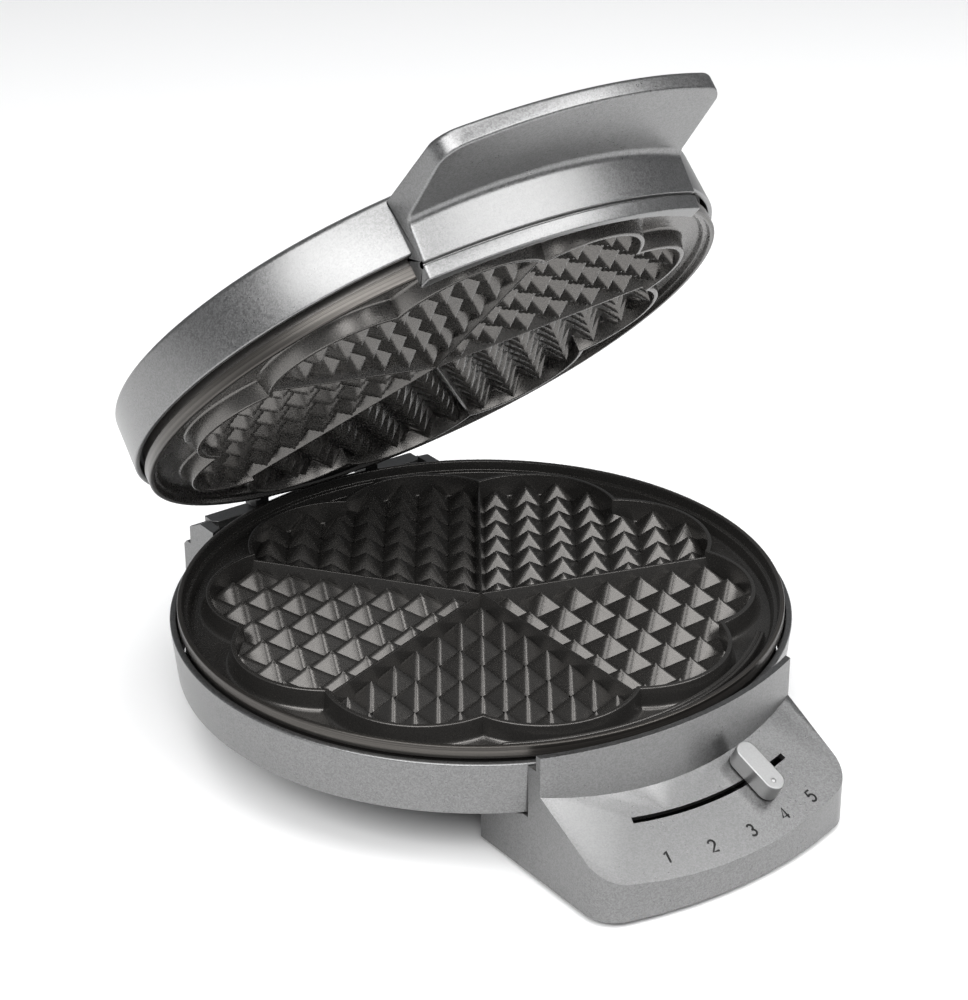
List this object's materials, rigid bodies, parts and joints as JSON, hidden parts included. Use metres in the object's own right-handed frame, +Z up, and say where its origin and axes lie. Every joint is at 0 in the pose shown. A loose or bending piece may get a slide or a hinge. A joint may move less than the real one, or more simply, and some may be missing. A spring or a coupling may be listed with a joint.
{
  "type": "waffle maker",
  "caption": "Round tabletop waffle maker with two heart-pattern baking plates, a hinged lid with a visor handle and a sloping console with a slider thermostat.",
  "frame": {"origin": "middle of the outline on the table under the feet, with the lid as stored, open by 44 degrees", "axes": "+Z up, +Y to the hinge at the rear, -Y to the console and handle at the front, +X to the user's right when the user faces the console from the front"},
  "size_m": [0.24, 0.2898, 0.2657],
  "materials": {
    "silver_plastic": "silver paint with fine metallic flake, satin",
    "dark_plastic": "fine-grained moulded plastic",
    "coated_aluminium": "dark non-stick coating on cast aluminium, semi-gloss",
    "steel": "zinc-plated steel",
    "bright_sheet": "bright rolled sheet",
    "heater_steel": "heat-darkened steel sheath",
    "rubber": "matte",
    "insulator": "off-white unglazed ceramic",
    "knob_plastic": "light silver, satin"
  },
  "bodies": {
    "base": {"base_band": "silver_plastic", "base_pan": "dark_plastic", "pan_screw_1": "steel", "pan_screw_2": "steel", "pan_screw_3": "steel", "pan_screw_4": "steel", "lower_plate": "coated_aluminium", "lower_heating_element": "heater_steel", "lower_reflector": "bright_sheet", "lower_plate_screw_1": "steel", "lower_plate_screw_2": "steel", "lower_plate_screw_3": "steel", "console_housing": "silver_plastic", "console_bottom": "dark_plastic", "console_screw_left": "steel", "console_screw_right": "steel", "thermostat": "insulator", "terminal_block": "insulator", "thermal_fuse": "insulator", "hinge_housing": "silver_plastic", "hinge_ear_left": "dark_plastic", "hinge_ear_screw_left": "steel", "hinge_cap_left": "silver_plastic", "hinge_pin_left": "steel", "foot_front_left": "rubber", "foot_rear_left": "rubber", "hinge_ear_right": "dark_plastic", "hinge_ear_screw_right": "steel", "hinge_cap_right": "silver_plastic", "hinge_pin_right": "steel", "foot_front_right": "rubber", "foot_rear_right": "rubber", "cord_gland": "rubber"},
    "lid": {"lid_shell": "silver_plastic", "lid_ring": "dark_plastic", "upper_plate": "coated_aluminium", "upper_heating_element": "heater_steel", "upper_reflector": "bright_sheet", "upper_plate_screw_1": "steel", "upper_plate_screw_2": "steel", "upper_plate_screw_3": "steel", "lid_hinge_block": "dark_plastic", "hinge_block_screw_1": "steel", "hinge_block_screw_2": "steel", "lid_handle": "silver_plastic", "handle_screw_1": "steel", "handle_screw_2": "steel"},
    "thermostat_lever": {"thermostat_lever": "steel", "slider_knob": "knob_plastic"}
  },
  "joints": [
    {"name": "lid_hinge", "type": "hinge", "parent": "base", "child": "lid", "pos_m": [0, 0.1281, 0.05896], "axis": [-1, 0, 0], "range_deg": [-44.28, 50.7]},
    {"name": "thermostat_slider", "type": "hinge", "parent": "base", "child": "thermostat_lever", "pos_m": [0.0033, 0.0453, 0.0225], "axis": [0, -0.454, 0.891], "range_deg": [-19.4, 5.4]}
  ]
}
